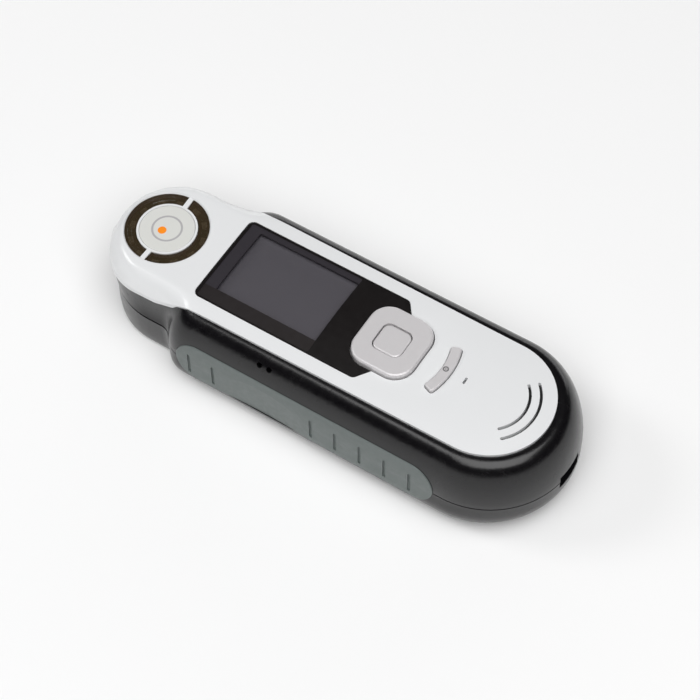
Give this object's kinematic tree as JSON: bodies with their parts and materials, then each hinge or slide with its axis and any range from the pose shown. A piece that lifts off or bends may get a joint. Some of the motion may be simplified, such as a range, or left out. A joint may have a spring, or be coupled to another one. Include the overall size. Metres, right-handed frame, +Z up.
{
  "type": "handheld imaging colorimeter",
  "caption": "Hand-held colour-measuring instrument with a round measuring head, display, rocking navigation pad, buttons, side grips and a calibration dial underneath.",
  "frame": {"origin": "on the ground under the middle of the instrument, in plan", "axes": "+X from the measuring head to the tail with the USB socket, +Y to the side away from the wrist-strap holes, +Z up"},
  "size_m": [0.2, 0.0708, 0.0435],
  "materials": {
    "white_gloss": "gloss",
    "black_satin": "satin",
    "grip_rubber": "matte",
    "window_smoke": "gloss",
    "ring_smoke": "gloss",
    "disc_offwhite": "satin",
    "key_silver": "satin",
    "circuit_green": "satin",
    "chip_black": "matte",
    "led_white": "satin",
    "optic_black": "matte",
    "reflector_white": "matte",
    "clear_glass": "gloss",
    "tile_white": "satin",
    "steel": "brushed",
    "silicone": "matte",
    "lcd_screen": "satin",
    "lcd_white": "satin",
    "flex_amber": "satin",
    "speaker_black": "matte",
    "mesh_cloth": "woven",
    "battery_wrap": "satin",
    "gold_contact": "polished",
    "foot_rubber": "matte"
  },
  "bodies": {
    "root": {"top_cover": "white_gloss", "upper_housing": "black_satin", "lower_housing": "black_satin", "grip_far": "grip_rubber", "grip_near": "grip_rubber", "display_window": "window_smoke", "ring_window_nose": "ring_smoke", "ring_window_tail": "ring_smoke", "head_disc": "disc_offwhite", "ring_light_board": "circuit_green", "ring_leds": "led_white", "optics_barrel": "optic_black", "reflector_cone": "reflector_white", "measuring_light_board": "circuit_green", "measuring_leds": "led_white", "lens_barrel": "optic_black", "lens": "clear_glass", "image_sensor": "chip_black", "sensor_board": "circuit_green", "aperture_glass": "clear_glass", "dial_screw": "steel", "key_mat": "silicone", "key_domes": "steel", "main_board": "circuit_green", "board_chips": "chip_black", "shield_can": "steel", "board_screws": "steel", "housing_screws": "steel", "lcd_frame": "optic_black", "lcd_backlight": "lcd_white", "lcd_panel": "lcd_screen", "lcd_flex": "flex_amber", "speaker": "speaker_black", "speaker_mesh": "mesh_cloth", "microphone": "steel", "mic_boot": "foot_rubber", "usb_socket": "steel", "usb_board": "circuit_green", "battery": "battery_wrap", "battery_contacts": "gold_contact", "rubber_feet": "foot_rubber"},
    "pad_rocker": {"nav_pivot_ring": "steel"},
    "pad": {"nav_pad": "key_silver"},
    "select_key": {"select_button": "key_silver"},
    "menu_key": {"menu_button": "key_silver"},
    "dial": {"calibration_dial": "black_satin", "calibration_tile": "tile_white"},
    "door": {"battery_door": "black_satin"}
  },
  "joints": [
    {"name": "pad_tilt_across", "type": "hinge", "parent": "root", "child": "pad_rocker", "pos_m": [0.02315, 0, 0.037], "axis": [1, 0, 0], "range_deg": [-2, 2], "stiffness_Nm_per_rad": 0.2},
    {"name": "pad_tilt_along", "type": "hinge", "parent": "pad_rocker", "child": "pad", "pos_m": [0.02315, 0, 0.037], "axis": [0, 1, 0], "range_deg": [-2, 2], "stiffness_Nm_per_rad": 0.2},
    {"name": "select_press", "type": "slide", "parent": "root", "child": "select_key", "axis": [0, 0, -1], "range_m": [0, 0.0006], "stiffness_N_per_m": 1500},
    {"name": "menu_press", "type": "slide", "parent": "root", "child": "menu_key", "axis": [0, 0, -1], "range_m": [0, 0.0006], "stiffness_N_per_m": 1500},
    {"name": "dial_turn", "type": "hinge", "parent": "root", "child": "dial", "pos_m": [-0.06935, 0, 0.0024], "axis": [0, 0, 1], "range_deg": [0, 90]},
    {"name": "door_lift", "type": "slide", "parent": "root", "child": "door", "axis": [0, 0, -1], "range_m": [0, 0.012]}
  ]
}
